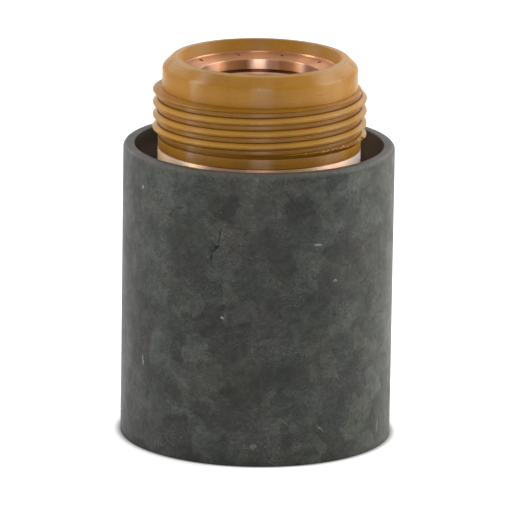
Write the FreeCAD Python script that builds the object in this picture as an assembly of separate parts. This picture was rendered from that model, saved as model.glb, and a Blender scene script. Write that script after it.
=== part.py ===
import FreeCAD, Part
import math
import os

# Plasma torch retaining cap, in millimetres. The axis is +Z and runs from the
# foot, where the cap screws onto the torch, to the mouth, which holds the
# nozzle. The origin is the centre of the foot of the outer sleeve.

# Shield thread: every radius of the nose and of the sleeve follows from its crest
thread_radius = 13.49      # 1 1/16 in across the crests
thread_depth = 0.69        # crest to root
thread_length = 5.69
thread_end_fall = 0.20     # fall of the end face from the pilot to the crest
thread_end_break = 0.10

# Thread ring
collar_height = 1.75       # from the ring's seat up to the thread
undercut_width = 0.48      # relief groove between the collar and the thread
undercut_depth = 0.20
pilot_step = 1.14          # crest of the thread to the pilot
pilot_length = 2.62        # from the end face of the thread up to the bevel
bevel_height = 1.24        # from the pilot up to the mouth's edge
mouth_land = 1.05          # nearly flat lip around the mouth
mouth_land_fall = 0.08     # fall of the lip from the mouth's edge to the bevel
lip_height = 1.49          # inner wall above the core
lip_overhang = 1.15        # how far the lip reaches in over the core
ring_wall = 1.55           # from the ring's bore out to the collar
ring_sink = 0.37           # how far the ring's seat lies below the rim

# Outer sleeve
sleeve_height = 37.57
recess_width = 2.93        # open gap around the collar
recess_depth = 7.20        # from the rim down to the floor of the recess
skirt_wall = 1.42          # wall of the open skirt around the nose
rim_round = 0.55           # outer edge of the rim
rim_break = 0.15           # inner edge of the rim
foot_break = 0.30          # outer edge of the foot
recess_corner = 0.40       # round between the skirt and the recess floor
press_fit = 0.0            # gap on the radius where the pieces are pressed

# Front of the copper core
face_land = 0.15           # flat rim of the core that shows in the mouth
face_step = 0.18           # fall of the chamfer inside that rim
face_step_width = 0.10
face_width = 2.16          # from the mouth wall in to the socket
face_fall = 0.67           # dish of the front face, from the land to the socket
socket_depth = 1.49
groove_width = 0.45        # dark groove in the corner of the socket
groove_depth = 0.25
ledge_width = 1.74         # from the socket wall in to the nozzle bore
nozzle_land = 1.65         # straight wall that guides the nozzle
seat_depth = 1.00          # 45 degree seat behind the nozzle bore
gas_hole_count = 10
gas_hole_radius = 0.29
gas_hole_inset = 0.80      # from the mouth wall in to the hole circle
gas_hole_first = 36.0      # degrees from +X
chamber_wall = 1.35        # wall of the core inside the ring
chamber_corner = 0.50

# Rear of the copper core, with the inside thread that takes the torch
core_setback = 1.00        # rear face of the core above the foot
torch_thread_radius = 12.188    # crest of an M26 x 1.5 nut thread
torch_thread_depth = 0.812
torch_thread_length = 9.20
torch_mouth_bevel = 1.00
relief_height = 1.50
relief_clearance = 0.25
body_wall = 0.95           # wall outside the thread relief
rear_chamber_step = 1.19   # crest of the torch thread in to the rear chamber
rear_chamber_drop = 1.37   # top of the rear chamber below the recess floor
rear_chamber_taper = 2.0   # height of the taper between the two chambers

# Radii that follow
collar_radius = thread_radius - thread_depth
undercut_radius = collar_radius - undercut_depth
pilot_radius = thread_radius - pilot_step
ring_bore_radius = collar_radius - ring_wall
mouth_radius = ring_bore_radius - lip_overhang
land_radius = mouth_radius + mouth_land
skirt_bore_radius = collar_radius + recess_width
sleeve_radius = skirt_bore_radius + skirt_wall
spigot_radius = ring_bore_radius - press_fit
face_radius = mouth_radius - face_land
socket_radius = mouth_radius - face_width
groove_radius = socket_radius - groove_width
nozzle_radius = socket_radius - ledge_width
gas_circle_radius = mouth_radius - gas_hole_inset
chamber_radius = spigot_radius - chamber_wall
relief_radius = torch_thread_radius + torch_thread_depth + relief_clearance
body_radius = relief_radius + body_wall
barrel_radius = body_radius + press_fit
torch_mouth_radius = torch_thread_radius + torch_mouth_bevel
rear_chamber_radius = torch_thread_radius - rear_chamber_step

# Heights that follow
recess_floor = sleeve_height - recess_depth
ring_seat = sleeve_height - ring_sink
thread_start = ring_seat + collar_height
undercut_start = thread_start - undercut_width
thread_end = thread_start + thread_length
pilot_start = thread_end + thread_end_fall
pilot_end = pilot_start + pilot_length
mouth_height = pilot_end + bevel_height
core_top = mouth_height - lip_height
socket_lip = core_top - face_fall
socket_floor = socket_lip - socket_depth
seat_top = socket_floor - nozzle_land
chamber_roof = seat_top - seat_depth
torch_thread_start = core_setback + torch_mouth_bevel
relief_start = torch_thread_start + torch_thread_length
relief_end = relief_start + relief_height
rear_chamber_top = recess_floor - rear_chamber_drop

AXIS = FreeCAD.Vector(0, 0, 1)
NEAR = 0.001
OVERRUN = 1.0              # how far a cutting shape runs past the face it opens


def turned(outline):
    """Solid made by turning a closed outline of (radius, height) corners around the axis."""
    corners = [FreeCAD.Vector(radius, 0, height) for radius, height in outline]
    wire = Part.makePolygon(corners + corners[:1])
    return Part.Face(wire).revolve(FreeCAD.Vector(), AXIS, 360)


def ring_edges(shape, radius, height):
    """The round edges of a turned shape at this radius and height."""
    found = []
    for edge in shape.Edges:
        if not isinstance(edge.Curve, Part.Circle):
            continue
        if abs(edge.Curve.Radius - radius) < NEAR and abs(edge.Curve.Center.z - height) < NEAR:
            found.append(edge)
    return found


def outer_sleeve():
    """Insulating sleeve: a thick barrel pressed on the core, and a thin skirt above it."""
    shape = turned([
        (barrel_radius, 0),
        (sleeve_radius, 0),
        (sleeve_radius, sleeve_height),
        (skirt_bore_radius, sleeve_height),
        (skirt_bore_radius, recess_floor),
        (barrel_radius, recess_floor),
    ])
    shape = shape.makeFillet(rim_round, ring_edges(shape, sleeve_radius, sleeve_height))
    shape = shape.makeFillet(recess_corner, ring_edges(shape, skirt_bore_radius, recess_floor))
    shape = shape.makeChamfer(rim_break, ring_edges(shape, skirt_bore_radius, sleeve_height))
    return shape.makeChamfer(foot_break, ring_edges(shape, sleeve_radius, 0))


def thread_ring():
    """Insulating ring: collar, relief, thread at its crest, pilot, bevel, and a lip over the core."""
    shape = turned([
        (ring_bore_radius, ring_seat),
        (collar_radius, ring_seat),
        (collar_radius, undercut_start),
        (undercut_radius, undercut_start),
        (undercut_radius, thread_start),
        (thread_radius, thread_start),
        (thread_radius, thread_end),
        (pilot_radius, pilot_start),
        (pilot_radius, pilot_end),
        (land_radius, mouth_height - mouth_land_fall),
        (mouth_radius, mouth_height),
        (mouth_radius, core_top),
        (ring_bore_radius, core_top),
    ])
    return shape.makeFillet(thread_end_break, ring_edges(shape, thread_radius, thread_end))


def gas_hole(number):
    """One of the gas holes that run from the front face down into the chamber."""
    angle = math.radians(gas_hole_first + number * 360 / gas_hole_count)
    across = gas_circle_radius * math.cos(angle)
    along = gas_circle_radius * math.sin(angle)
    base = FreeCAD.Vector(across, along, chamber_roof - OVERRUN)
    length = core_top - chamber_roof + 2 * OVERRUN
    return Part.makeCylinder(gas_hole_radius, length, base, AXIS)


def copper_core():
    """Turned core: pressed body, collar, spigot, dished face, nozzle bore, chamber and torch thread."""
    body = turned([
        (0, core_setback),
        (body_radius, core_setback),
        (body_radius, recess_floor),
        (collar_radius, recess_floor),
        (collar_radius, ring_seat),
        (spigot_radius, ring_seat),
        (spigot_radius, core_top),
        (face_radius, core_top),
        (face_radius - face_step_width, core_top - face_step),
        (socket_radius, socket_lip),
        (0, socket_lip),
    ])
    inside = turned([
        (0, core_setback - OVERRUN),
        (torch_mouth_radius, core_setback - OVERRUN),
        (torch_mouth_radius, core_setback),
        (torch_thread_radius, torch_thread_start),
        (torch_thread_radius, relief_start),
        (relief_radius, relief_start),
        (relief_radius, relief_end),
        (rear_chamber_radius, relief_end),
        (rear_chamber_radius, rear_chamber_top),
        (chamber_radius, rear_chamber_top + rear_chamber_taper),
        (chamber_radius, chamber_roof),
        (nozzle_radius + seat_depth, chamber_roof),
        (nozzle_radius, seat_top),
        (nozzle_radius, socket_floor),
        (groove_radius, socket_floor),
        (groove_radius, socket_floor - groove_depth),
        (socket_radius, socket_floor - groove_depth),
        (socket_radius, socket_lip + OVERRUN),
        (0, socket_lip + OVERRUN),
    ])
    inside = inside.makeFillet(chamber_corner, ring_edges(inside, chamber_radius, chamber_roof))
    shape = body.cut(inside)
    for number in range(gas_hole_count):
        shape = shape.cut(gas_hole(number))
    return shape


SUB_PARTS = {
    "outer_sleeve": outer_sleeve,
    "thread_ring": thread_ring,
    "copper_core": copper_core,
}

os.makedirs("parts", exist_ok=True)
for name, make in SUB_PARTS.items():
    solid = make()
    solid.exportStep(f"parts/{name}.step")
    print(name, "valid" if solid.isValid() else "NOT VALID", len(solid.Solids), round(solid.Volume, 2))
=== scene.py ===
"""Looks of the plasma torch retaining cap: sleeve, threaded nose ring and copper core."""

import logging
import math
from collections.abc import Callable, Sequence
from dataclasses import dataclass
from enum import Enum

import bmesh
import bpy
from mathutils import Matrix, Vector, noise


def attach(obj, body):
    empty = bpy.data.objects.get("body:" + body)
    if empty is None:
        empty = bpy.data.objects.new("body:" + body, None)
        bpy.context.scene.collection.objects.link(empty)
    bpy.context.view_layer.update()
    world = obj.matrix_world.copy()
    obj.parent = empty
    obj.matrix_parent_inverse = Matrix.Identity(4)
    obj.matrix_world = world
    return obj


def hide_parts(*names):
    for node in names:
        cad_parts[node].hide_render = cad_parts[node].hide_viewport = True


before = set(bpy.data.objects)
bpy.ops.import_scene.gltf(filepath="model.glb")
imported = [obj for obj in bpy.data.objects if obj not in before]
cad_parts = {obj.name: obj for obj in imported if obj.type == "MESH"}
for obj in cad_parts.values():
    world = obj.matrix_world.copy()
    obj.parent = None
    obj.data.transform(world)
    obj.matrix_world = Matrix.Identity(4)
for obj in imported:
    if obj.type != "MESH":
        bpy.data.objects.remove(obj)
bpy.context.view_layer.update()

MM = 0.001
RIM_GAP = 0.03 * MM
WELD = 2e-6
TRIM_SLACK = 1e-7
ROUND_STEPS = 4
FULL_TURN = 2 * math.pi
AXIS = Vector((0, 0, 1))
CENTRE = Vector((0, 0, 0))
SHADE = "shade"
SAME_SHADE = 0.005

# Sizes that two pieces, or a piece and its finish, have in common
SLEEVE_RADIUS = 17.15 * MM
BARREL_RADIUS = 14.20 * MM
COLLAR_RADIUS = 12.80 * MM
SPIGOT_RADIUS = 11.25 * MM
RECESS_FLOOR = 30.37 * MM
RING_SEAT = 37.20 * MM
CORE_TOP = 47.21 * MM

LOG = logging.getLogger("retaining_cap")

Colour = tuple[float, float, float]
Socket = bpy.types.NodeSocket

# Where a change on the surface starts and where it is complete, in millimetres
Reach = tuple[float, float]


class Side(Enum):
    """Which way the teeth of a thread point."""

    OUTWARD = 1
    INWARD = -1


@dataclass(frozen=True)
class Corner:
    """One corner of a turned outline, in metres, with the size of its rounding.

    Shade is painted light and shade: 0 leaves the skin as it is, up to 1 paints shade into a corner,
    groove or recess, and below 0 paints light, mostly highlights.
    """

    radius: float
    height: float
    rounding: float = 0.0
    shade: float = 0.0


def outline_of(bm: bmesh.types.BMesh, corners: Sequence[Corner], closed: bool) -> None:
    """Draws a turned outline as edges and rounds its corners.

    Args:
        bm: The mesh that receives the outline, in the XZ plane.
        corners: The corners in order.
        closed: Whether the last corner joins the first.
    """
    shade = bm.verts.layers.float.new(SHADE)
    verts = []
    for corner in corners:
        vert = bm.verts.new((corner.radius, 0, corner.height))
        vert[shade] = corner.shade
        verts.append(vert)
    for start, end in zip(verts, verts[1:]):
        bm.edges.new((start, end))
    if closed:
        bm.edges.new((verts[-1], verts[0]))
    for vert, corner in zip(verts, corners):
        if corner.rounding:
            bmesh.ops.bevel(
                bm, geom=[vert], offset=corner.rounding, affect="VERTICES",
                segments=ROUND_STEPS, profile=0.5, material=-1,
            )


def turned(corners: Sequence[Corner], steps: int, closed: bool = True) -> bmesh.types.BMesh:
    """Turns an outline once around the axis.

    Args:
        corners: The outline's corners.
        steps: Faces around the full turn.
        closed: Whether the outline closes on itself.

    Returns:
        The turned mesh, with its faces pointing outwards when the outline is closed.
    """
    bm = bmesh.new()
    outline_of(bm, corners, closed)
    bmesh.ops.spin(
        bm, geom=bm.verts[:] + bm.edges[:], cent=CENTRE, axis=AXIS,
        angle=FULL_TURN, steps=steps, use_merge=True,
    )
    return bm


def finished(
    bm: bmesh.types.BMesh, name: str, finish: bpy.types.Material, crease: float,
) -> bpy.types.Object:
    """Closes a mesh's normals and puts it in the scene with its material.

    Args:
        bm: The modelled mesh, which is freed.
        name: The piece's name.
        finish: Its material.
        crease: The angle above which an edge stays sharp, in degrees.

    Returns:
        The new object, at the origin.
    """
    bmesh.ops.recalc_face_normals(bm, faces=bm.faces[:])
    mesh = bpy.data.meshes.new(name)
    bm.to_mesh(mesh)
    bm.free()
    mesh.polygons.foreach_set("use_smooth", [True] * len(mesh.polygons))
    mesh.set_sharp_from_angle(angle=math.radians(crease))
    mesh.materials.append(finish)
    piece = bpy.data.objects.new(name, mesh)
    bpy.context.collection.objects.link(piece)
    return piece


@dataclass(frozen=True)
class ThreadForm:
    """A right-hand thread with flattened crests and roots, as lengths along the axis."""

    side: Side
    pitch: float
    crest_radius: float
    depth: float
    lower_flank: float
    root_flat: float
    upper_flank: float
    root_at_front: float
    steps: int
    edge_break: float = 0.05 * MM
    corner_width: float = 0.10 * MM
    flank_shade: float = 0.16

    def profile(self, start: float) -> list[Corner]:
        """One pitch of the outline, from the middle of a root to the middle of the next.

        Args:
            start: Height of the first corner.
        """
        half_root = self.root_flat / 2
        crest_start = half_root + self.lower_flank
        crest_end = self.pitch - half_root - self.upper_flank
        corner = self.pitch - half_root
        # The shades paint shade on the root, the lower flank and the groove's lower corner, and painted
        # highlights on the crest's top and the upper flank
        return [
            self.at(0.00, start, 0.44),
            self.at(0.00, start + half_root, 0.40),
            self.at(0.92, start + half_root + 0.92 * self.lower_flank, self.flank_shade),
            self.at(0.97, start + crest_start, self.flank_shade),
            self.at(1.00, start + crest_start + self.edge_break, 0.18),
            self.at(1.00, start + crest_end - self.edge_break, -0.06),
            self.at(0.95, start + crest_end, -0.30),
            self.at(0.27, start + crest_end + 0.73 * self.upper_flank, -0.28),
            self.at(0.10, start + crest_end + 0.90 * self.upper_flank, 0.95),
            self.at(-0.06, start + corner, 0.95),
            self.at(0.00, start + corner + self.corner_width, 0.50),
            self.at(0.00, start + self.pitch, 0.44),
        ]

    def at(self, share: float, height: float, shade: float) -> Corner:
        """A corner that lies this share of the way from the root to the crest."""
        inset = self.side.value * self.depth * (1 - share)
        return Corner(self.crest_radius - inset, height, shade=shade)

    def ribbon(self, low: float, high: float) -> bmesh.types.BMesh:
        """Winds one pitch of the thread's outline up the axis and trims it at two heights.

        Args:
            low: Height of the lower trim.
            high: Height of the upper trim.

        Returns:
            An open surface with one edge loop at each trim.
        """
        # The outline starts at +X, a quarter turn on from the front
        first_root = self.root_at_front + self.pitch / 4
        while first_root > low - 2 * self.pitch:
            first_root -= self.pitch
        bm = bmesh.new()
        outline_of(bm, self.profile(first_root), closed=False)
        bmesh.ops.spin(
            bm, geom=bm.verts[:] + bm.edges[:], cent=CENTRE, axis=AXIS,
            dvec=AXIS * (self.pitch / self.steps), angle=FULL_TURN, steps=self.steps,
        )
        one_turn = bm.verts[:] + bm.edges[:] + bm.faces[:]
        for turn in range(1, math.ceil((high - first_root) / self.pitch) + 1):
            copy = bmesh.ops.duplicate(bm, geom=one_turn)["geom"]
            verts = [item for item in copy if isinstance(item, bmesh.types.BMVert)]
            bmesh.ops.translate(bm, verts=verts, vec=AXIS * (turn * self.pitch))
        bmesh.ops.remove_doubles(bm, verts=bm.verts[:], dist=WELD)
        for height, upward in ((low, False), (high, True)):
            bmesh.ops.bisect_plane(
                bm, geom=bm.verts[:] + bm.edges[:] + bm.faces[:], dist=TRIM_SLACK,
                plane_co=(0, 0, height), plane_no=AXIS, clear_outer=upward, clear_inner=not upward,
            )
        return bm


def rim_at(bm: bmesh.types.BMesh, height: float, slack: float = 1e-6) -> list[bmesh.types.BMEdge]:
    """The open edges of a mesh that lie at one height."""
    return [
        edge for edge in bm.edges
        if edge.is_boundary and all(abs(vert.co.z - height) < slack for vert in edge.verts)
    ]


def join_rims(bm: bmesh.types.BMesh, first: float, second: float) -> None:
    """Bridges the open rims at two heights."""
    bmesh.ops.bridge_loops(bm, edges=rim_at(bm, first) + rim_at(bm, second))


def absorb(bm: bmesh.types.BMesh, other: bmesh.types.BMesh) -> None:
    """Adds another mesh's faces to this one and frees the other."""
    carrier = bpy.data.meshes.new("carrier")
    other.to_mesh(carrier)
    other.free()
    bm.from_mesh(carrier)
    bpy.data.meshes.remove(carrier)


class Shader:
    """A material's node tree, with short calls for adding and joining nodes."""

    def __init__(self, name: str) -> None:
        """Starts a material with a Principled surface, and the place on the cap in millimetres."""
        self.material = bpy.data.materials.new(name)
        self.material.use_nodes = True
        self.tree = self.material.node_tree
        self.surface = self.tree.nodes["Principled BSDF"]
        self.place = self.tree.nodes.new("ShaderNodeTexCoord").outputs["Object"]
        self.in_mm = self.mapped((1, 1, 1))
        self.across, _, self.height = self.split(self.in_mm)[:3]

    def link(self, source: Socket, target: Socket) -> None:
        """Joins an output to an input."""
        self.tree.links.new(source, target)

    def mapped(self, scale: Sequence[float], turn: Sequence[float] = (0, 0, 0)) -> Socket:
        """Object coordinates in millimetres, scaled, and turned by degrees about each axis."""
        node = self.tree.nodes.new("ShaderNodeMapping")
        node.inputs["Scale"].default_value = [part / MM for part in scale]
        node.inputs["Rotation"].default_value = [math.radians(angle) for angle in turn]
        self.link(self.place, node.inputs["Vector"])
        return node.outputs["Vector"]

    def noise(
        self, scale: float, detail: float = 2.0, rough: float = 0.5,
        distortion: float = 0.0, vector: Socket | None = None,
    ) -> Socket:
        """Noise whose features are about 1 / scale millimetres wide."""
        node = self.tree.nodes.new("ShaderNodeTexNoise")
        node.inputs["Scale"].default_value = scale
        node.inputs["Detail"].default_value = detail
        node.inputs["Roughness"].default_value = rough
        node.inputs["Distortion"].default_value = distortion
        self.link(vector or self.in_mm, node.inputs["Vector"])
        return node.outputs["Fac"]

    def warped(self, scale: float, amount: float) -> Socket:
        """Object coordinates in millimetres, pushed about by noise by this many millimetres."""
        push = self.tree.nodes.new("ShaderNodeTexNoise")
        push.inputs["Scale"].default_value = scale
        push.inputs["Detail"].default_value = 3.0
        self.link(self.in_mm, push.inputs["Vector"])
        centred = self.vector("SUBTRACT", push.outputs["Color"], (0.5, 0.5, 0.5))
        return self.vector("ADD", self.in_mm, self.vector("MULTIPLY", centred, (amount, amount, amount)))

    def from_axis(self) -> Socket:
        """The distance from the cap's axis, in millimetres."""
        return self.vector("LENGTH", self.mapped((1, 1, 0)))

    def to_side(self) -> Socket:
        """The distance to the left or the right of the middle, in millimetres."""
        return self.maths("ABSOLUTE", self.across, 0.0)

    def vector(
        self, kind: str, first: Socket, second: Socket | Sequence[float] = (0, 0, 0),
    ) -> Socket:
        """Joins two vectors by a maths operation, or measures the first one's length."""
        node = self.tree.nodes.new("ShaderNodeVectorMath")
        node.operation = kind
        self.link(first, node.inputs[0])
        if isinstance(second, Socket):
            self.link(second, node.inputs[1])
        else:
            node.inputs[1].default_value = second
        return node.outputs["Value"] if kind == "LENGTH" else node.outputs["Vector"]

    def cells(self, scale: float, vector: Socket, soft: float = 0.0) -> bpy.types.Node:
        """Cells of random colour, about 1 / scale millimetres wide, with soft borders if wanted."""
        node = self.tree.nodes.new("ShaderNodeTexVoronoi")
        node.inputs["Scale"].default_value = scale
        self.link(vector, node.inputs["Vector"])
        if soft:
            node.feature = "SMOOTH_F1"
            node.inputs["Smoothness"].default_value = soft
        return node

    def split(self, source: Socket) -> bpy.types.NodeOutputs:
        """The three parts of a vector or colour."""
        node = self.tree.nodes.new("ShaderNodeSeparateXYZ")
        self.link(source, node.inputs["Vector"])
        return node.outputs

    def spots(self, scale: float, size: float, share: float, vector: Socket) -> Socket:
        """Scattered spots, one in each of a share of the cells.

        Args:
            scale: Cells per millimetre of the vector.
            size: Radius of a spot, as a share of the cell.
            share: Share of the cells that have one.
            vector: Where to scatter them.

        Returns:
            1 inside a spot and 0 outside.
        """
        cells = self.cells(scale, vector)
        disc = self.span(cells.outputs["Distance"], size, size * 0.4)
        picked = self.span(self.split(cells.outputs["Color"])[0], 1 - share, 1.0, 0.0, 1.6)
        return self.times(disc, picked)

    def ridge(self, source: Socket, width: float) -> Socket:
        """Thin lines where a noise passes its middle value."""
        off = self.maths("ABSOLUTE", self.maths("SUBTRACT", source, 0.5), 0.0)
        return self.span(off, width, 0.0)

    def ramp(self, source: Socket, stops: Sequence[tuple[float, Colour]]) -> Socket:
        """Maps a value onto colours at the given places."""
        node = self.tree.nodes.new("ShaderNodeValToRGB")
        band = node.color_ramp.elements
        while len(band) < len(stops):
            band.new(1.0)
        for element, (place, colour) in zip(band, stops):
            element.position = place
            element.color = (*colour, 1)
        self.link(source, node.inputs["Fac"])
        return node.outputs["Color"]

    def span(
        self, source: Socket, low: float, high: float, start: float = 0.0, end: float = 1.0,
    ) -> Socket:
        """Maps a value from low..high onto start..end, clamped."""
        node = self.tree.nodes.new("ShaderNodeMapRange")
        node.inputs["From Min"].default_value = low
        node.inputs["From Max"].default_value = high
        node.inputs["To Min"].default_value = start
        node.inputs["To Max"].default_value = end
        self.link(source, node.inputs["Value"])
        return node.outputs["Result"]

    def blend(
        self, kind: str, first: Socket | Colour, second: Socket | Colour,
        amount: Socket | float,
    ) -> Socket:
        """Mixes two colours by a blend type and an amount."""
        node = self.tree.nodes.new("ShaderNodeMix")
        node.data_type = "RGBA"
        node.blend_type = kind
        for value, socket in ((first, node.inputs[6]), (second, node.inputs[7]), (amount, node.inputs[0])):
            if isinstance(value, Socket):
                self.link(value, socket)
            elif isinstance(value, tuple):
                socket.default_value = (*value, 1)
            else:
                socket.default_value = value
        return node.outputs[2]

    def tinted(self, colour: Socket, level: Socket) -> Socket:
        """A colour times a value."""
        node = self.tree.nodes.new("ShaderNodeVectorMath")
        node.operation = "SCALE"
        self.link(colour, node.inputs[0])
        self.link(level, node.inputs["Scale"])
        return node.outputs["Vector"]

    def plus(self, first: Socket, second: Socket | float) -> Socket:
        """The sum of two values."""
        return self.maths("ADD", first, second)

    def times(self, first: Socket, *others: Socket | float) -> Socket:
        """The product of two or more values."""
        for other in others:
            first = self.maths("MULTIPLY", first, other)
        return first

    def maths(self, kind: str, first: Socket, second: Socket | float) -> Socket:
        """Joins two values by a maths operation."""
        node = self.tree.nodes.new("ShaderNodeMath")
        node.operation = kind
        self.link(first, node.inputs[0])
        if isinstance(second, Socket):
            self.link(second, node.inputs[1])
        else:
            node.inputs[1].default_value = second
        return node.outputs[0]

    def relief(self, height: Socket, depth: float, strength: float) -> None:
        """Bumps the surface by a height, where depth is in metres."""
        node = self.tree.nodes.new("ShaderNodeBump")
        node.inputs["Strength"].default_value = strength
        node.inputs["Distance"].default_value = depth
        self.link(height, node.inputs["Height"])
        self.link(node.outputs["Normal"], self.surface.inputs["Normal"])

    def attribute(self, name: str) -> Socket:
        """A value that the mesh carries at its vertices."""
        node = self.tree.nodes.new("ShaderNodeAttribute")
        node.attribute_name = name
        return node.outputs["Fac"]

    def turn_gloss(self, amount: float) -> None:
        """Stretches the gloss across the rings that a lathe leaves."""
        tangent = self.tree.nodes.new("ShaderNodeTangent")
        tangent.direction_type = "RADIAL"
        tangent.axis = "Z"
        self.link(tangent.outputs["Tangent"], self.surface.inputs["Tangent"])
        self.set(Anisotropic=amount, Anisotropic_Rotation=0.25)

    def set(self, **values: Socket | float) -> None:
        """Sets or joins inputs of the surface, each named with underscores for spaces."""
        for name, value in values.items():
            socket = self.surface.inputs[name.replace("_", " ")]
            if isinstance(value, Socket):
                self.link(value, socket)
            else:
                socket.default_value = value


@dataclass(frozen=True)
class Mark:
    """One flaw or pale fleck in the sleeve's skin: where it sits, its size and how it is turned."""

    turn: float
    height: float
    length: float
    width: float
    tilt: float
    colour: Colour
    strength: float = 1.0


INK: Colour = (0.003, 0.003, 0.003)
PALE: Colour = (0.16, 0.18, 0.165)
MOSS: Colour = (0.085, 0.100, 0.088)

MARKS = (
    Mark(turn=-17.1, height=28.15, length=0.46, width=0.34, tilt=30, colour=INK),
    Mark(turn=-18.3, height=27.75, length=0.75, width=0.16, tilt=42, colour=INK),
    Mark(turn=-19.4, height=26.75, length=1.00, width=0.14, tilt=84, colour=INK, strength=0.9),
    Mark(turn=-15.9, height=29.60, length=1.30, width=0.14, tilt=80, colour=INK, strength=0.9),
    Mark(turn=-12.0, height=20.50, length=1.60, width=0.70, tilt=15, colour=INK, strength=0.45),
    Mark(turn=-57.3, height=33.90, length=0.35, width=0.20, tilt=60, colour=PALE),
    Mark(turn=-55.9, height=11.60, length=0.90, width=0.14, tilt=100, colour=PALE),
    Mark(turn=25.9, height=28.35, length=0.65, width=0.16, tilt=-8, colour=PALE, strength=0.8),
    Mark(turn=34.5, height=23.50, length=0.35, width=0.16, tilt=10, colour=PALE, strength=0.7),
    Mark(turn=-14.5, height=19.10, length=0.20, width=0.16, tilt=0, colour=PALE),
    Mark(turn=-0.7, height=2.60, length=0.60, width=0.45, tilt=40, colour=MOSS, strength=0.8),
    Mark(turn=28.4, height=4.60, length=0.80, width=0.16, tilt=-45, colour=MOSS, strength=0.9),
    Mark(turn=64.1, height=2.95, length=1.20, width=0.25, tilt=80, colour=MOSS),
    Mark(turn=34.9, height=19.10, length=1.60, width=0.08, tilt=-18, colour=INK, strength=0.7),
    Mark(turn=50.0, height=27.40, length=1.90, width=0.05, tilt=-48, colour=INK, strength=0.5),
    Mark(turn=-39.0, height=31.60, length=0.95, width=0.13, tilt=50, colour=INK, strength=0.8),
    Mark(turn=-34.8, height=32.50, length=0.95, width=0.13, tilt=10, colour=INK, strength=0.8),
)


# The layers of chopped strands: how each is turned, in degrees, and how it is squeezed
STRANDS = (
    ((0, 28, 0), (0.9, 5.0, 5.0)),
    ((0, -62, 20), (1.1, 6.0, 6.0)),
    ((0, 80, 50), (0.8, 5.0, 5.0)),
)


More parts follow.
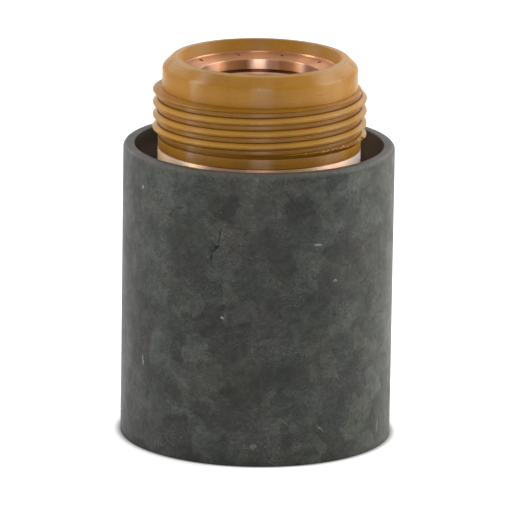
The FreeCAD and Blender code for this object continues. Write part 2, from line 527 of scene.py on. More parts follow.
@dataclass(frozen=True)
class CompositeFinish:
    """The sleeve's moulding: chips of clouded resin and chopped fibre, flecks, strands and seams."""

    green: Colour = (0.046, 0.051, 0.044)
    grey: Colour = (0.047, 0.048, 0.043)
    violet: Colour = (0.047, 0.046, 0.043)
    olive: Colour = (0.048, 0.050, 0.040)
    rust: Colour = (0.051, 0.047, 0.040)
    # inner, shaded, bounce and lip are lit and shaded copies of the skirt's inner wall: painted light and
    # painted shade
    inner: Colour = (0.092, 0.074, 0.053)
    shaded: Colour = (0.046, 0.040, 0.031)
    bounce: Colour = (0.140, 0.112, 0.098)
    lip: Colour = (0.064, 0.073, 0.064)
    fleck: Colour = (0.150, 0.165, 0.150)
    seam: Colour = (0.016, 0.016, 0.013)
    # rim is the colour of the rim's top: partly real rubbing, partly painted light
    rim: Colour = (0.084, 0.075, 0.066)
    level: float = 0.59
    roughness: float = 0.46
    gloss: float = 0.22
    radius: float = SLEEVE_RADIUS / MM
    # sides and rim_dim place the painted light at the sleeve's sides
    sides: Reach = (-17.0, 17.0)
    left_half: Reach = (0.0, -10.2)
    inner_sides: Reach = (-12.0, 12.0)
    rim_dim: Reach = (37.4, 36.4)
    rim_wear_and_light: Reach = (36.9, 37.5)
    lip_edge: Reach = (36.6, 37.4)
    collar_glow: Reach = (35.8, 34.2)
    recess: Reach = (29.0, 30.0)
    skirt_inside: Reach = (16.2, 15.8)

    def material(self) -> bpy.types.Material:
        """Builds the finish."""
        make = Shader("sleeve_composite")
        cloud = make.noise(0.45, 6.0, 0.68, 1.0)
        grain = make.noise(2.4, 3.0, 0.65)
        body = self.resin(make, cloud, grain)
        body = self.fibres(make, body)
        body = self.marked(make, body)
        body = self.rim_and_inside(make, body, grain)
        rough = make.span(cloud, 0.3, 0.7, self.roughness + 0.08, self.roughness - 0.06)
        make.set(Base_Color=body, Roughness=rough, Specular_IOR_Level=self.gloss)
        make.relief(make.plus(make.times(cloud, 2.0), grain), 0.05 * MM, 0.35)
        return make.material

    def resin(self, make: Shader, cloud: Socket, grain: Socket) -> Socket:
        """The chips of clouded resin, with painted light: greener at both sides, lighter towards the right
        edge and darker at the far left edge.

        Args:
            make: The material's node tree.
            cloud: Noise as wide as a chip.
            grain: Noise as fine as the moulding's skin.
        """
        chips = make.split(make.cells(0.27, make.warped(0.30, 5.0), soft=0.16).outputs["Color"])
        hue = make.plus(make.times(chips[0], 0.7), make.times(make.noise(0.09), 0.5))
        # Painted light: the hue drifts towards green at both sides
        body = make.ramp(make.plus(hue, make.times(make.to_side(), 0.007)), [
            (0.30, self.rust), (0.42, self.violet), (0.54, self.grey),
            (0.66, self.olive), (0.78, self.green),
        ])
        # Painted light: lit lightens the right side and darkens the far left edge, less near the rim
        lit = make.ramp(make.span(make.across, *self.sides), [
            (0.01, (0.88, 0.88, 0.86)), (0.08, (1.0, 1.0, 1.0)), (0.62, (1.0, 1.0, 1.0)),
            (0.82, (1.14, 1.14, 1.12)), (0.92, (1.36, 1.37, 1.28)), (0.98, (1.42, 1.44, 1.22)),
        ])
        body = make.blend("MULTIPLY", body, lit, make.span(make.height, *self.rim_dim, 0.2, 1.0))
        strokes = make.noise(0.85, 5.0, 0.72, 1.6, make.mapped((1, 1, 2.1), (0, 12, 0)))
        return make.tinted(body, make.times(
            make.span(chips[1], 0.15, 0.85, 0.74, 1.30),
            make.span(cloud, 0.30, 0.70, 0.56, 1.44),
            make.span(strokes, 0.32, 0.68, 0.74, 1.27),
            make.span(grain, 0.30, 0.72, 0.88, 1.14),
            self.level,
        ))

    def fibres(self, make: Shader, body: Socket) -> Socket:
        """Lays dark seams, pale wisps, flecks and chopped strands over a colour.

        Args:
            make: The material's node tree.
            body: The colour of the resin.

        Returns:
            The colour with its fibres.
        """
        seams = make.ridge(make.noise(0.22, 5.0, 0.58, 1.2), 0.015)
        kept = make.span(make.noise(0.16), 0.42, 0.52, 0.0, 0.92)
        body = make.blend("MIX", body, self.seam, make.times(seams, kept))
        wisps = make.ridge(make.noise(0.85, 4.0, 0.65, 2.4), 0.022)
        patch = make.times(make.span(make.noise(0.22, 3.0, 0.6), 0.46, 0.66), 0.5)
        body = make.blend("MIX", body, self.fleck, make.times(wisps, patch))
        flecks = make.spots(2.4, 0.17, 0.15, make.warped(2.5, 0.6))
        body = make.blend("MIX", body, self.fleck, make.times(flecks, 0.60))
        dense = make.plus(patch, 0.15)
        for turn, squeeze in STRANDS:
            strands = make.spots(1.0, 0.24, 0.10, make.mapped(squeeze, turn))
            body = make.blend("MIX", body, self.fleck, make.times(strands, dense))
        return body

    def marked(self, make: Shader, body: Socket) -> Socket:
        """Lays the pits, cracks and flakes over a colour."""
        jitter = make.warped(2.8, 0.6)
        for mark in MARKS:
            cover = make.times(self.patch_of(make, mark, jitter), mark.strength)
            body = make.blend("MIX", body, mark.colour, cover)
        return body

    def rim_and_inside(self, make: Shader, body: Socket, grain: Socket) -> Socket:
        """Lightens the rim, where it is worn and with painted light on its top, and paints light and shade
        on the skirt's inner wall, which the collar throws light on.

        Args:
            make: The material's node tree.
            body: The colour of the outside.
            grain: Noise as fine as the moulding's skin.
        """
        # The rim's top is lighter: partly real rubbing, partly painted light
        wear_and_lit_top = make.times(make.span(make.height, *self.rim_wear_and_light), make.span(grain, 0.3, 0.6, 0.35, 0.9))
        body = make.blend("MIX", body, self.rim, wear_and_lit_top)
        # Painted light and shade: the inner wall is shaded on the left, lit on the right, lit by the
        # collar low down and lighter at its upper left edge
        inner = make.blend("MIX", self.shaded, self.inner, make.span(make.across, *self.inner_sides))
        inner = make.blend("MIX", inner, self.bounce, make.span(make.height, *self.collar_glow, 0.0, 0.9))
        edge = make.times(make.span(make.height, *self.lip_edge), make.span(make.across, *self.left_half))
        inner = make.blend("MIX", inner, self.lip, edge)
        inside = make.times(
            make.span(make.from_axis(), *self.skirt_inside), make.span(make.height, *self.recess),
        )
        return make.blend("MIX", body, inner, inside)

    def patch_of(self, make: Shader, mark: Mark, place: Socket) -> Socket:
        """1 inside a mark and 0 outside, with a frayed edge.

        Args:
            make: The material's node tree.
            mark: The mark.
            place: Where on the sleeve, in millimetres.
        """
        angle = math.radians(mark.turn)
        node = make.tree.nodes.new("ShaderNodeMapping")
        node.vector_type = "TEXTURE"
        node.inputs["Location"].default_value = (
            self.radius * math.sin(angle), -self.radius * math.cos(angle), mark.height,
        )
        node.inputs["Rotation"].default_value = (0, -math.radians(mark.tilt), angle)
        node.inputs["Scale"].default_value = (mark.length, 1.0, mark.width)
        make.link(place, node.inputs["Vector"])
        return make.span(make.vector("LENGTH", node.outputs["Vector"]), 1.0, 0.55)


@dataclass(frozen=True)
class MachinedPlasticFinish:
    """The nose ring's high-temperature plastic, turned on a lathe to a satin gloss."""

    colour: Colour = (0.340, 0.148, 0.005)
    deep: Colour = (0.305, 0.128, 0.004)
    # cut is the colour of painted shade, for the grooves, corners, relief, collar and the right of the
    # thread
    cut: Colour = (0.120, 0.046, 0.005)
    # The colour of painted light: highlights on crests, upper flanks, land and chipped thread start, and a
    # lighter mouth, pilot foot and lower flanks
    painted_light: Colour = (0.56, 0.34, 0.08)
    roughness: float = 0.32
    gloss: float = 0.43
    worn: float = 0.14
    matt: float = 0.28
    # middle places painted shade in the middle of the ring and painted light at its sides
    middle: Reach = (5.0, 12.0)
    # right_side places painted shade on the right of the thread
    right_side: Reach = (5.0, 10.5)
    groove_middle: Reach = (3.0, 8.0)
    dull_sides: Reach = (7.5, 11.5)
    thread_foot: Reach = (38.9, 39.0)
    thread_top: Reach = (44.7, 44.6)
    collar_top: Reach = (38.4, 38.5)
    mouth: Reach = (10.50, 10.25)

    def material(self) -> bpy.types.Material:
        """Builds the finish."""
        make = Shader("ring_plastic")
        shade = make.attribute(SHADE)
        aside = make.to_side()
        out = make.from_axis()
        lines = make.noise(1.0, 2.0, 0.6, 0.0, make.mapped((0.16, 0.16, 9)))
        rough = make.span(lines, 0.3, 0.7, self.roughness + 0.06, self.roughness - 0.06)
        rough = make.plus(make.span(out, *self.mouth, 0.0, self.matt), rough)
        make.set(Base_Color=self.skin(make, shade, aside), Roughness=rough, Specular_IOR_Level=self.gloss)
        make.relief(lines, 0.008 * MM, 0.5)
        make.turn_gloss(0.95)
        gloss = make.times(
            make.span(shade, 0.40, 1.0, self.gloss, 0.03),
            make.span(aside, *self.dull_sides, 1.0, self.worn),
            make.span(make.height, *self.collar_top, 1.6, 1.0),
            make.span(out, *self.mouth, 1.0, 1.3),
        )
        make.set(Specular_IOR_Level=gloss)
        return make.material

    def skin(self, make: Shader, shade: Socket, aside: Socket) -> Socket:
        """The ring's colour, with painted light and shade: darker in the middle, painted shade on the
        right of the thread and in its grooves, and painted light where the mesh's shade is below 0, also
        on the chips of the thread's start.

        Args:
            make: The material's node tree.
            shade: The mesh's own shade.
            aside: The distance to the left or the right of the middle.
        """
        drift = make.span(make.noise(0.35, 3.0, 0.55), 0.38, 0.60)
        speck = make.ramp(make.noise(5.0), [(0.30, (0.88, 0.86, 0.82)), (0.62, (1.04, 1.04, 1.04))])
        body = make.blend("MULTIPLY", make.blend("MIX", self.deep, self.colour, drift), speck, 1.0)
        # Painted shade in the middle and painted light at the sides
        body = make.tinted(body, make.span(aside, *self.middle, 0.82, 1.05))
        # Painted shade on the right of the thread
        painted_right_shade = make.times(
            make.span(make.height, *self.thread_foot), make.span(make.height, *self.thread_top),
            make.span(make.across, *self.right_side, 0.0, 0.36),
        )
        body = make.blend("MIX", body, self.cut, painted_right_shade)
        # Painted shade in the grooves, corners, relief and collar, a little weaker at the front
        depth = make.times(make.span(shade, 0.0, 1.0), make.span(aside, *self.groove_middle, 0.88, 1.0))
        body = make.blend("MIX", body, self.cut, depth)
        # Painted light where the mesh's shade is below 0
        return make.blend("MIX", body, self.painted_light, make.span(shade, 0.0, -1.0))


@dataclass(frozen=True)
class TurnedCopperFinish:
    """Copper with the fine rings that a lathe leaves: bright outside, duller on the front face."""

    colour: Colour = (0.70, 0.40, 0.27)
    worn: Colour = (0.58, 0.32, 0.21)
    # face, face_dim and face_lit are the front face's colour with painted light and painted reflection
    face: Colour = (0.49, 0.235, 0.120)
    face_dim: Colour = (0.36, 0.172, 0.088)
    face_lit: Colour = (0.60, 0.287, 0.148)
    # peach to rose are painted reflections and highlights: around the collar, and as stripes on the
    # socket's wall
    peach: Colour = (1.00, 0.76, 0.55)
    lilac: Colour = (0.84, 0.68, 0.62)
    collar: Colour = (0.95, 0.64, 0.45)
    pink: Colour = (0.88, 0.49, 0.36)
    gold: Colour = (0.97, 0.68, 0.36)
    cream: Colour = (0.97, 0.78, 0.60)
    bright: Colour = (0.92, 0.60, 0.46)
    brown: Colour = (0.62, 0.33, 0.16)
    rose: Colour = (0.43, 0.26, 0.185)
    # Painted shade, in the socket's groove and where the collar meets the ring
    painted_shade: Colour = (0.22, 0.10, 0.05)
    roughness: float = 0.40
    metal: float = 0.85
    sides: Reach = (-12.8, 12.8)
    socket_wall: Reach = (45.20, 45.22)
    front_face: Reach = (46.50, 46.58)
    collar_top: Reach = (37.30, 37.25)
    collar_foot: Reach = (29.8, 30.2)

    def material(self) -> bpy.types.Material:
        """Builds the finish."""
        make = Shader("turned_copper")
        collar = make.times(
            make.span(make.height, *self.collar_top), make.span(make.height, *self.collar_foot),
        )
        rings = make.tree.nodes.new("ShaderNodeTexWave")
        rings.wave_type = "RINGS"
        rings.rings_direction = "Z"
        rings.inputs["Scale"].default_value = 3.0
        rings.inputs["Distortion"].default_value = 1.5
        make.link(make.in_mm, rings.inputs["Vector"])
        lines = make.noise(1.0, 2.0, 0.6, 0.0, make.mapped((0.06, 0.06, 12)))
        sheen = make.span(make.height, *self.collar_top, self.roughness, self.roughness + 0.16)
        rough = make.plus(sheen, make.span(lines, 0.3, 0.7, 0.05, -0.05))
        make.set(Base_Color=self.skin(make, collar), Roughness=rough, Metallic=1.0)
        make.set(Metallic=make.span(collar, 0.0, 1.0, 1.0, self.metal))
        make.relief(make.plus(lines, rings.outputs["Fac"]), 0.006 * MM, 0.4)
        make.turn_gloss(0.95)
        return make.material

    def skin(self, make: Shader, collar: Socket) -> Socket:
        """The copper's colour: tarnish, then painted reflections on the wall of the socket, the front face
        and the collar, and painted shade where the mesh's shade is above 0.

        Args:
            make: The material's node tree.
            collar: 1 on the collar and 0 elsewhere.
        """
        tarnish = make.span(make.noise(0.5, 4.0, 0.6), 0.35, 0.62)
        body = make.blend("MIX", self.worn, self.colour, tarnish)
        place = make.span(make.across, *self.sides)
        # Painted reflections: stripes of highlight and shade across the socket's wall
        wall = make.ramp(place, [
            (0.27, self.rose), (0.31, self.brown), (0.43, self.brown), (0.45, self.bright),
            (0.58, self.bright), (0.60, self.brown), (0.67, self.brown), (0.71, self.rose),
        ])
        body = make.blend("MIX", body, wall, make.span(make.height, *self.socket_wall))
        # Painted light and reflection on the front face: dim on the left, lit in the middle
        dish = make.ramp(place, [
            (0.25, self.face_dim), (0.40, self.face_lit), (0.56, self.face_lit), (0.72, self.face),
        ])
        body = make.blend("MIX", body, dish, make.span(make.height, *self.front_face))
        # Painted reflections and highlights around the collar
        around = make.ramp(place, [
            (0.02, self.gold), (0.05, self.peach), (0.13, self.peach), (0.18, self.gold),
            (0.22, self.collar), (0.28, self.pink), (0.37, self.collar), (0.50, self.pink),
            (0.66, self.gold), (0.74, self.gold), (0.80, self.collar), (0.87, self.pink),
            (0.91, self.collar), (0.95, self.cream), (0.99, self.lilac),
        ])
        body = make.blend("MIX", body, around, collar)
        # Painted shade where the mesh's shade is above 0
        return make.blend("MIX", body, self.painted_shade, make.attribute(SHADE))


@dataclass(frozen=True)
class PaleFloorFinish:
    """The plain pale floor, which shows white to the camera and is dark under the cap, with a painted
    contact shadow that fades out round its foot.
    """

    colour: Colour = (0.82, 0.82, 0.82)
    contact_shadow: Colour = (0.205, 0.205, 0.205)
    lift: float = 0.42
    foot: Reach = (17.0, 18.0)

    def material(self) -> bpy.types.Material:
        """Builds the finish."""
        make = Shader("pale_floor")
        out = make.from_axis()
        # Painted contact shadow: the floor darkens towards the cap's foot, and so does its lift
        tone = make.blend("MIX", self.contact_shadow, self.colour, make.span(out, *self.foot))
        make.set(Base_Color=tone, Roughness=0.9, Specular_IOR_Level=0.0)
        nodes = make.tree.nodes
        path = nodes.new("ShaderNodeLightPath")
        seen = make.maths("MAXIMUM", path.outputs["Is Camera Ray"], path.outputs["Is Glossy Ray"])
        glow = nodes.new("ShaderNodeEmission")
        lift = make.times(seen, make.span(out, *self.foot, 0.0, self.lift))
        make.link(lift, glow.inputs["Strength"])
        both = nodes.new("ShaderNodeAddShader")
        make.link(make.surface.outputs["BSDF"], both.inputs[0])
        make.link(glow.outputs["Emission"], both.inputs[1])
        make.link(both.outputs["Shader"], nodes["Material Output"].inputs["Surface"])
        return make.material


@dataclass
class OuterSleeve:
    """The fibre-filled sleeve: a barrel around the core, and the thin skirt above it."""

    radius: float = SLEEVE_RADIUS
    height: float = 37.57 * MM
    skirt_bore: float = 15.73 * MM
    barrel_bore: float = BARREL_RADIUS
    recess_floor: float = RECESS_FLOOR
    rim_round: float = 0.55 * MM
    rim_break: float = 0.18 * MM
    foot_round: float = 0.04 * MM
    corner_round: float = 0.40 * MM
    bore_break: float = 0.20 * MM
    steps: int = 256

    def build(self) -> bpy.types.Object:
        """Turns the sleeve and dresses it."""
        bm = turned([
            Corner(self.barrel_bore, 0, self.bore_break),
            Corner(self.radius, 0, self.foot_round),
            Corner(self.radius, self.height, self.rim_round),
            Corner(self.skirt_bore, self.height, self.rim_break),
            Corner(self.skirt_bore, self.recess_floor, self.corner_round),
            Corner(self.barrel_bore, self.recess_floor),
        ], self.steps)
        piece = finished(bm, "sleeve_shell", CompositeFinish().material(), crease=40)
        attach(piece, "root")
        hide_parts("outer_sleeve")
        return piece


@dataclass
class NoseRing:
    """The machined ring: collar, shield thread, pilot, bevel and the lip over the core."""

    bore: float = SPIGOT_RADIUS
    seat: float = RING_SEAT
    collar_radius: float = COLLAR_RADIUS
    relief_start: float = 38.47 * MM
    relief_radius: float = 12.60 * MM
    thread_start: float = 38.95 * MM
    thread_end: float = 44.64 * MM
    pilot_start: float = 44.84 * MM
    pilot_radius: float = 12.35 * MM
    pilot_end: float = 47.46 * MM
    land_radius: float = 11.15 * MM
    land_height: float = 48.62 * MM
    mouth_radius: float = 10.10 * MM
    mouth_height: float = 48.70 * MM
    core_top: float = CORE_TOP
    shoulder_top: float = 44.82 * MM
    line_width: float = 0.10 * MM
    line_depth: float = 0.03 * MM
    collar_round: float = 0.08 * MM
    mouth_round: float = 0.06 * MM
    land_round: float = 0.12 * MM
    pilot_round: float = 0.30 * MM
    ease_from: float = 3.5 * MM
    ease_over: float = 6.0 * MM
    ease_by: float = 0.50
    fray_from: float = 8.0
    fray_to: float = 80.0
    fray_height: float = 0.30 * MM
    fray_reach: float = 0.06 * MM
    chips_per_degree: float = 0.85
    chips_per_mm: float = 3.0
    chip_seed: float = 3.7
    chip_keep: float = 0.78
    chip_depth: float = 0.9
    chip_highlight: float = 0.40
    groove_shade: float = 0.38
    groove_half: float = 0.16 * MM
    groove_fade: float = 0.20 * MM
    steps: int = 256
    thread: ThreadForm = ThreadForm(
        side=Side.OUTWARD, pitch=1.5875 * MM, crest_radius=13.49 * MM, depth=0.69 * MM,
        lower_flank=0.40 * MM, root_flat=0.52 * MM, upper_flank=0.40 * MM,
        root_at_front=44.02 * MM, steps=480,
    )

    def body(self) -> bmesh.types.BMesh:
        """The ring without its thread, open between the collar and the pilot."""
        # The shades paint shade on the relief, the collar and a thin line at the pilot's foot, and paint
        # light inside the mouth, on the land and low on the pilot
        return turned([
            Corner(self.relief_radius, self.thread_start - RIM_GAP, shade=1.0),
            Corner(self.relief_radius, self.relief_start, shade=1.0),
            Corner(self.collar_radius, self.relief_start, shade=0.22),
            Corner(self.collar_radius, self.seat, self.collar_round, shade=0.22),
            Corner(self.bore, self.seat),
            Corner(self.bore, self.core_top),
            Corner(self.mouth_radius, self.core_top, shade=-0.22),
            Corner(self.mouth_radius, self.mouth_height, self.mouth_round, shade=-0.14),
            Corner(self.land_radius, self.land_height, self.land_round, shade=-0.12),
            Corner(self.land_radius + self.line_width, self.land_height - self.line_width),
            Corner(self.pilot_radius, self.pilot_end, self.pilot_round),
            Corner(self.pilot_radius, self.pilot_start + self.line_width, shade=-0.08),
            Corner(self.pilot_radius - self.line_depth, self.pilot_start, shade=0.5),
            Corner(self.pilot_radius + self.line_width, self.shoulder_top),
        ], self.steps, closed=False)

    def paint_flank_light(self, bm: bmesh.types.BMesh) -> None:
        """Paints light on the lower flanks towards both sides."""
        shade = bm.verts.layers.float[SHADE]
        for vert in bm.verts:
            if abs(vert[shade] - self.thread.flank_shade) < SAME_SHADE:
                aside = (abs(vert.co.x) - self.ease_from) / self.ease_over
                vert[shade] -= self.ease_by * min(1.0, max(0.0, aside))

    def fray(self, bm: bmesh.types.BMesh) -> None:
        """Chips the thin start of the thread, which the cutter left ragged on one side."""
        shade = bm.verts.layers.float[SHADE]
        root = self.thread.crest_radius - self.thread.depth
        for vert in bm.verts:
            if vert.co.z > self.thread_start + self.fray_height:
                continue
            angle = math.degrees(math.atan2(vert.co.x, -vert.co.y))
            reach = math.hypot(vert.co.x, vert.co.y) - root
            if reach < self.fray_reach or not self.fray_from < angle < self.fray_to:
                continue
            along = angle * self.chips_per_degree
            chip = noise.noise(Vector((along, vert.co.z * self.chips_per_mm / MM, self.chip_seed)))
            keep = root + reach * min(1.0, self.chip_keep + self.chip_depth * chip)
            vert.co.x *= keep / (root + reach)
            vert.co.y *= keep / (root + reach)
            # Painted highlights on some chips, and painted shade on the rest
            vert[shade] = -0.75 if chip > self.chip_highlight else 0.30

    def shade_rims(self, bm: bmesh.types.BMesh) -> None:
        """Paints no shade on the shoulder above the thread, and paints shade on the relief under the
        teeth, less where a groove runs into it.
        """
        shade = bm.verts.layers.float[SHADE]
        for vert in bm.verts:
            if abs(vert.co.z - self.thread_end) < RIM_GAP / 2:
                vert[shade] = 0.0
            if abs(vert.co.z - self.thread_start + RIM_GAP) < RIM_GAP / 2:
                turn = math.atan2(vert.co.x, -vert.co.y) / FULL_TURN
                root = self.thread.root_at_front + turn * self.thread.pitch
                away = abs(math.remainder(root - self.thread_start, self.thread.pitch))
                beside = max(0.0, away - self.groove_half) / self.groove_fade
                vert[shade] = min(1.0, self.groove_shade + beside)

    def build(self) -> bpy.types.Object:
        """Joins the thread to the body and dresses the ring."""
        bm = self.thread.ribbon(self.thread_start, self.thread_end)
        self.paint_flank_light(bm)
        self.fray(bm)
        absorb(bm, self.body())
        self.shade_rims(bm)
        join_rims(bm, self.thread_start - RIM_GAP, self.thread_start)
        join_rims(bm, self.thread_end, self.shoulder_top)
        piece = finished(bm, "nose_ring", MachinedPlasticFinish().material(), crease=32)
        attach(piece, "root")
        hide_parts("thread_ring")
        return piece


@dataclass(frozen=True)
class HoleRing:
    """Small holes drilled down along the axis, evenly around a circle."""

    count: int = 10
    radius: float = 0.29 * MM
    circle: float = 9.30 * MM
    first: float = 36.0
    low: float = 41.5 * MM
    high: float = 48.0 * MM
    segments: int = 24

    def cutter(self) -> bpy.types.Object:
        """A mesh of rods, one for each hole."""
        bm = bmesh.new()
        for number in range(self.count):
            angle = math.radians(self.first + number * 360 / self.count)
            across = self.circle * math.cos(angle)
            along = self.circle * math.sin(angle)
            bmesh.ops.create_cone(
                bm, cap_ends=True, segments=self.segments, radius1=self.radius, radius2=self.radius,
                depth=self.high - self.low,
                matrix=Matrix.Translation((across, along, (self.low + self.high) / 2)),
            )
        mesh = bpy.data.meshes.new("rods")
        bm.to_mesh(mesh)
        bm.free()
        rods = bpy.data.objects.new("rods", mesh)
        bpy.context.collection.objects.link(rods)
        return rods

    def drill(self, bm: bmesh.types.BMesh) -> bmesh.types.BMesh:
        """Cuts the holes out of a closed mesh, which is freed, and returns the result."""
        blank_mesh = bpy.data.meshes.new("blank")
        bmesh.ops.recalc_face_normals(bm, faces=bm.faces[:])
        bm.to_mesh(blank_mesh)
        bm.free()
        blank = bpy.data.objects.new("blank", blank_mesh)
        bpy.context.collection.objects.link(blank)
        rods = self.cutter()
        cut = blank.modifiers.new("holes", "BOOLEAN")
        cut.operation = "DIFFERENCE"
        cut.solver = "EXACT"
        cut.object = rods
        graph = bpy.context.evaluated_depsgraph_get()
        drilled = bmesh.new()
        drilled.from_object(blank, graph)
        for scrap in (blank, rods):
            mesh = scrap.data
            bpy.data.objects.remove(scrap)
            bpy.data.meshes.remove(mesh)
        return drilled


@dataclass
class CopperCore:
    """The turned core: collar, dished front face with gas holes, socket, bores and torch thread."""

    body_radius: float = BARREL_RADIUS
    rear_face: float = 1.00 * MM
    recess_floor: float = RECESS_FLOOR
    collar_radius: float = COLLAR_RADIUS
    ring_seat: float = RING_SEAT
    spigot_radius: float = SPIGOT_RADIUS
    face_edge: float = 9.95 * MM
    core_top: float = CORE_TOP
    socket_radius: float = 7.94 * MM
    socket_lip: float = 46.54 * MM
    socket_floor: float = 45.05 * MM
    nozzle_radius: float = 6.20 * MM
    seat_top: float = 43.40 * MM
    chamber_roof: float = 42.40 * MM
    chamber_radius: float = 9.90 * MM
    rear_chamber_radius: float = 11.00 * MM
    rear_chamber_top: float = 29.00 * MM
    chamber_taper: float = 2.00 * MM
    relief_radius: float = 13.25 * MM
    relief_end: float = 12.70 * MM
    relief_start: float = 11.20 * MM
    thread_start: float = 2.00 * MM
    mouth_bevel: float = 1.00 * MM
    mouth_break: float = 0.05 * MM
    rear_break: float = 0.15 * MM
    collar_round: float = 0.02 * MM
    collar_line: float = 0.08 * MM
    collar_line_fade: float = 0.04 * MM
    face_edge_round: float = 0.04 * MM
    face_step: float = 0.18 * MM
    face_step_width: float = 0.10 * MM
    socket_round: float = 0.09 * MM
    # Painted shade down the foot of the socket's wall, across its groove and onto the socket's floor
    # beside it
    painted_shade_height: float = 0.22 * MM
    painted_shade_fade: float = 0.05 * MM
    painted_shade_reach: float = 0.80 * MM
    groove_out: float = 0.12 * MM
    groove_in: float = 0.55 * MM
    groove_depth: float = 0.20 * MM
    groove_slope: float = 0.10 * MM
    nozzle_round: float = 0.08 * MM
    chamber_round: float = 0.40 * MM
    steps: int = 256
    holes: HoleRing = HoleRing()
    thread: ThreadForm = ThreadForm(
        side=Side.INWARD, pitch=1.50 * MM, crest_radius=12.188 * MM, depth=0.812 * MM,
        lower_flank=0.469 * MM, root_flat=0.187 * MM, upper_flank=0.469 * MM,
        root_at_front=5.00 * MM, steps=160, corner_width=0.05 * MM,
    )

    def body(self) -> bmesh.types.BMesh:
        """The core without its thread, open between the mouth bevel and the relief."""
        seat_step = self.seat_top - self.chamber_roof
        groove_wall = self.socket_radius + self.groove_out
        groove_edge = self.socket_radius - self.groove_in
        groove_floor = self.socket_floor - self.groove_depth
        painted_shade_top = self.socket_floor + self.painted_shade_height
        line_foot = self.ring_seat - self.collar_line
        # The shaded corners paint shade into the socket's groove and in a line where the collar meets the
        # ring
        return turned([
            Corner(self.thread.crest_radius + self.mouth_bevel, self.rear_face, self.mouth_break),
            Corner(self.body_radius, self.rear_face, self.rear_break),
            Corner(self.body_radius, self.recess_floor),
            Corner(self.collar_radius, self.recess_floor),
            Corner(self.collar_radius, line_foot - self.collar_line_fade),
            Corner(self.collar_radius, line_foot, shade=0.9),
            Corner(self.collar_radius, self.ring_seat, self.collar_round, shade=0.9),
            Corner(self.spigot_radius, self.ring_seat),
            Corner(self.spigot_radius, self.core_top),
            Corner(self.face_edge, self.core_top, self.face_edge_round),
            Corner(self.face_edge - self.face_step_width, self.core_top - self.face_step),
            Corner(self.socket_radius, self.socket_lip, self.socket_round),
            Corner(self.socket_radius, painted_shade_top + self.painted_shade_fade),
            Corner(self.socket_radius, painted_shade_top, shade=1.0),
            Corner(groove_wall, self.socket_floor + self.groove_out, shade=1.0),
            Corner(groove_wall, groove_floor, shade=1.0),
            Corner(groove_edge, groove_floor, shade=1.0),
            Corner(groove_edge - self.groove_slope, self.socket_floor, shade=0.6),
            Corner(self.socket_radius - self.painted_shade_reach, self.socket_floor),
            Corner(self.nozzle_radius, self.socket_floor, self.nozzle_round),
            Corner(self.nozzle_radius, self.seat_top),
            Corner(self.nozzle_radius + seat_step, self.chamber_roof),
            Corner(self.chamber_radius, self.chamber_roof, self.chamber_round),
            Corner(self.chamber_radius, self.rear_chamber_top + self.chamber_taper),
            Corner(self.rear_chamber_radius, self.rear_chamber_top),
            Corner(self.rear_chamber_radius, self.relief_end),
            Corner(self.relief_radius, self.relief_end),
            Corner(self.relief_radius, self.relief_start),
        ], self.steps, closed=False)

    def build(self) -> bpy.types.Object:
        """Joins the torch thread to the core, drills the gas holes and dresses it."""
        bm = self.thread.ribbon(self.thread_start, self.relief_start - RIM_GAP)
        absorb(bm, self.body())
        join_rims(bm, self.rear_face, self.thread_start)
        join_rims(bm, self.relief_start - RIM_GAP, self.relief_start)
        bm = self.holes.drill(bm)
        piece = finished(bm, "core_body", TurnedCopperFinish().material(), crease=30)
        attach(piece, "root")
        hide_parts("copper_core")
        return piece


@dataclass(frozen=True)
class SoftBox:
    """A soft box: where it hangs, how large it is, and how bright against white paper."""

    name: str
    azimuth: float
    elevation: float
    width: float
    height: float
    brightness: float
    reach: float = 1.0


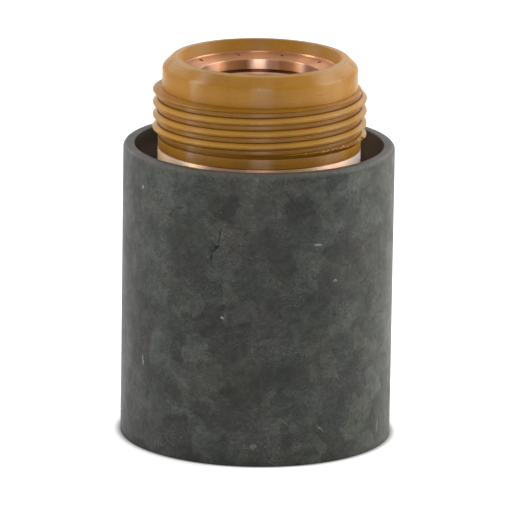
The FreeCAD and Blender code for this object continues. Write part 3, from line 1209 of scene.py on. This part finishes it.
@dataclass
class Studio:
    """The plain studio: floor, white surroundings, soft lamps and the photograph's camera."""

    frame_pixels: float = 512.0
    pixels_per_mm: float = 7.895
    elevation: float = 14.52
    distance: float = 843.8 * MM
    target_height: float = 24.0 * MM
    target_pixel: tuple[float, float] = (257.5, 246.8)
    roll: float = 0.86
    sensor: float = 36.0
    surround: float = 0.62
    room: float = 0.18
    room_from: float = -0.9
    room_to: float = -0.1
    floor_reach: float = 3.0
    boxes: tuple[SoftBox, ...] = (
        SoftBox("front_box", azimuth=2.5, elevation=13, width=0.38, height=0.18, brightness=14.5),
        SoftBox("left_box", azimuth=-84, elevation=20, width=0.16, height=1.00, brightness=10.0),
        SoftBox("right_box", azimuth=98, elevation=18, width=0.60, height=1.00, brightness=5.2),
        SoftBox("back_left_box", azimuth=-140, elevation=28, width=0.60, height=0.50, brightness=1.6),
        SoftBox("back_right_box", azimuth=145, elevation=28, width=0.60, height=0.50, brightness=2.0),
    )

    def lay_floor(self) -> None:
        """Adds the floor under the cap."""
        bm = bmesh.new()
        bmesh.ops.create_grid(bm, x_segments=1, y_segments=1, size=self.floor_reach)
        mesh = bpy.data.meshes.new("floor")
        bm.to_mesh(mesh)
        bm.free()
        mesh.materials.append(PaleFloorFinish().material())
        floor = bpy.data.objects.new("floor", mesh)
        bpy.context.collection.objects.link(floor)

    def surround_with_white(self) -> None:
        """Makes the world white to the camera, and gentle as a light.

        In reflections and through glass it is white as well, and falls off only
        towards the side where the camera stands, as in a room behind a photographer.
        """
        world = bpy.data.worlds.new("studio")
        bpy.context.scene.world = world
        world.use_nodes = True
        nodes = world.node_tree.nodes
        links = world.node_tree.links
        place = nodes.new("ShaderNodeTexCoord")
        split = nodes.new("ShaderNodeSeparateXYZ")
        links.new(place.outputs["Generated"], split.inputs["Vector"])
        room = nodes.new("ShaderNodeMapRange")
        room.interpolation_type = "SMOOTHSTEP"
        room.inputs["From Min"].default_value = self.room_from
        room.inputs["From Max"].default_value = self.room_to
        room.inputs["To Min"].default_value = self.room
        room.inputs["To Max"].default_value = 1.0
        links.new(split.outputs["Y"], room.inputs["Value"])
        path = nodes.new("ShaderNodeLightPath")
        shown = self.larger(
            world.node_tree, path.outputs["Is Glossy Ray"], path.outputs["Is Transmission Ray"],
        )
        level = nodes.new("ShaderNodeMix")
        level.inputs[2].default_value = self.surround
        links.new(shown, level.inputs[0])
        links.new(room.outputs["Result"], level.inputs[3])
        strength = self.larger(world.node_tree, level.outputs[0], path.outputs["Is Camera Ray"])
        links.new(strength, nodes["Background"].inputs["Strength"])
        nodes["Background"].inputs["Color"].default_value = (1, 1, 1, 1)

    @staticmethod
    def larger(tree: bpy.types.NodeTree, first: Socket, second: Socket) -> Socket:
        """The larger of two values."""
        node = tree.nodes.new("ShaderNodeMath")
        node.operation = "MAXIMUM"
        tree.links.new(first, node.inputs[0])
        tree.links.new(second, node.inputs[1])
        return node.outputs[0]

    def hang_box(self, box: SoftBox) -> None:
        """Hangs a soft box that faces the cap."""
        turn = math.radians(box.azimuth)
        climb = math.radians(box.elevation)
        aim = Vector((0, 0, self.target_height))
        level = math.cos(climb)
        away = Vector((math.sin(turn) * level, -math.cos(turn) * level, math.sin(climb)))
        data = bpy.data.lights.new(box.name, "AREA")
        data.shape = "RECTANGLE"
        data.size = box.width
        data.size_y = box.height
        data.energy = box.brightness * math.pi * box.width * box.height
        lamp = bpy.data.objects.new(box.name, data)
        lamp.location = aim + away * box.reach
        lamp.rotation_euler = away.to_track_quat("Z", "Y").to_euler()
        bpy.context.collection.objects.link(lamp)

    def set_camera(self) -> None:
        """Places the camera at the photograph's angle and framing."""
        climb = math.radians(self.elevation)
        back = Vector((0, -math.cos(climb), math.sin(climb)))
        upward = Vector((0, math.sin(climb), math.cos(climb)))
        target = Vector((0, 0, self.target_height))
        place = target + back * self.distance
        across_px, down_px = self.target_pixel
        half = self.frame_pixels / 2
        metres = MM / self.pixels_per_mm
        shift = Vector((1, 0, 0)) * (across_px - half) * metres
        aim = target - shift - upward * (half - down_px) * metres
        data = bpy.data.cameras.new("camera")
        data.sensor_width = self.sensor
        data.lens = self.sensor * self.distance / MM * self.pixels_per_mm / self.frame_pixels
        data.clip_start = 0.01
        data.clip_end = 20.0
        camera = bpy.data.objects.new("camera", data)
        facing = (place - aim).to_track_quat("Z", "Y").to_matrix().to_4x4()
        roll = Matrix.Rotation(math.radians(self.roll), 4, "Z")
        camera.matrix_world = Matrix.Translation(place) @ facing @ roll
        bpy.context.collection.objects.link(camera)
        bpy.context.scene.camera = camera

    def build(self) -> None:
        """Sets up the whole studio."""
        self.lay_floor()
        self.surround_with_white()
        for box in self.boxes:
            self.hang_box(box)
        self.set_camera()
        bpy.context.scene.view_settings.view_transform = "Standard"


def main() -> None:
    """Builds the cap's pieces in order, then the studio around them."""
    logging.basicConfig(level=logging.INFO, format="%(message)s")
    makers: list[Callable[[], bpy.types.Object]] = [
        OuterSleeve().build,
        NoseRing().build,
        CopperCore().build,
    ]
    for make in makers:
        piece = make()
        LOG.info("%s: %d faces", piece.name, len(piece.data.polygons))
    Studio().build()


if __name__ == "__main__":
    main()
